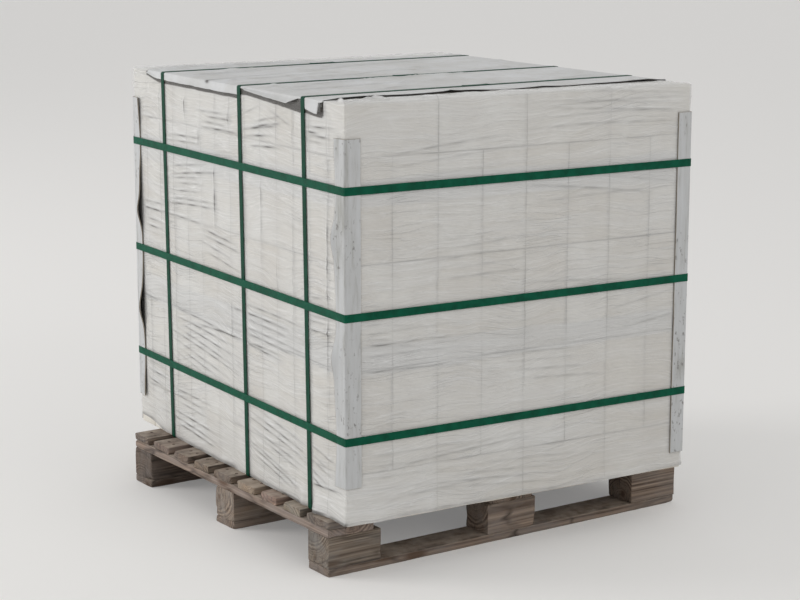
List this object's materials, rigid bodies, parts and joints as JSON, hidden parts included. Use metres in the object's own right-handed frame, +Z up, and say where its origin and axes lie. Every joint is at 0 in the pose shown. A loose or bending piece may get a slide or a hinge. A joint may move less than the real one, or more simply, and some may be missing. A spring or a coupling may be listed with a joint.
{
  "type": "pallet of bricks",
  "caption": "Strapped and film-wrapped stack of light firebricks on a timber block pallet, with a top sheet, corner guards and fork pockets on all sides.",
  "frame": {"origin": "on the floor under the middle of the pallet and of the load, at the bottom centre of the whole", "axes": "+Z up, +X to the right along the pallet's front, +Y from the front to the back, along the deck boards"},
  "size_m": [1.1346, 1.0124, 1.0481],
  "materials": {
    "pallet_timber": "sawn, weathered",
    "deck_timber": "sawn, weathered",
    "firebrick": "fine, matt, porous",
    "film": "clear, wrinkled, glossy",
    "sheet": "soft white sheet",
    "guard_board": "white lined board",
    "strap": "embossed, satin"
  },
  "bodies": {
    "root": {"bottom_board_left": "pallet_timber", "bottom_board_centre": "pallet_timber", "bottom_board_right": "pallet_timber", "block_front_left": "pallet_timber", "block_front_centre": "pallet_timber", "block_front_right": "pallet_timber", "block_middle_left": "pallet_timber", "block_middle_centre": "pallet_timber", "block_middle_right": "pallet_timber", "block_back_left": "pallet_timber", "block_back_centre": "pallet_timber", "block_back_right": "pallet_timber", "stringer_front": "pallet_timber", "stringer_middle": "pallet_timber", "stringer_back": "pallet_timber", "deck_board_1": "deck_timber", "deck_board_2": "deck_timber", "deck_board_3": "deck_timber", "deck_board_4": "deck_timber", "deck_board_5": "deck_timber", "deck_board_6": "deck_timber", "deck_board_7": "deck_timber", "deck_board_8": "deck_timber", "deck_board_9": "deck_timber", "brick_course_1": "firebrick", "brick_course_2": "firebrick", "brick_course_3": "firebrick", "brick_course_4": "firebrick", "brick_course_5": "firebrick", "corner_guard_front_left": "guard_board", "corner_guard_front_right": "guard_board", "corner_guard_back_left": "guard_board", "corner_guard_back_right": "guard_board", "upright_strap_left": "strap", "upright_strap_centre": "strap", "upright_strap_right": "strap", "level_strap_low": "strap", "level_strap_middle": "strap", "level_strap_high": "strap", "stretch_film": "film", "top_sheet": "sheet"}
  },
  "joints": []
}
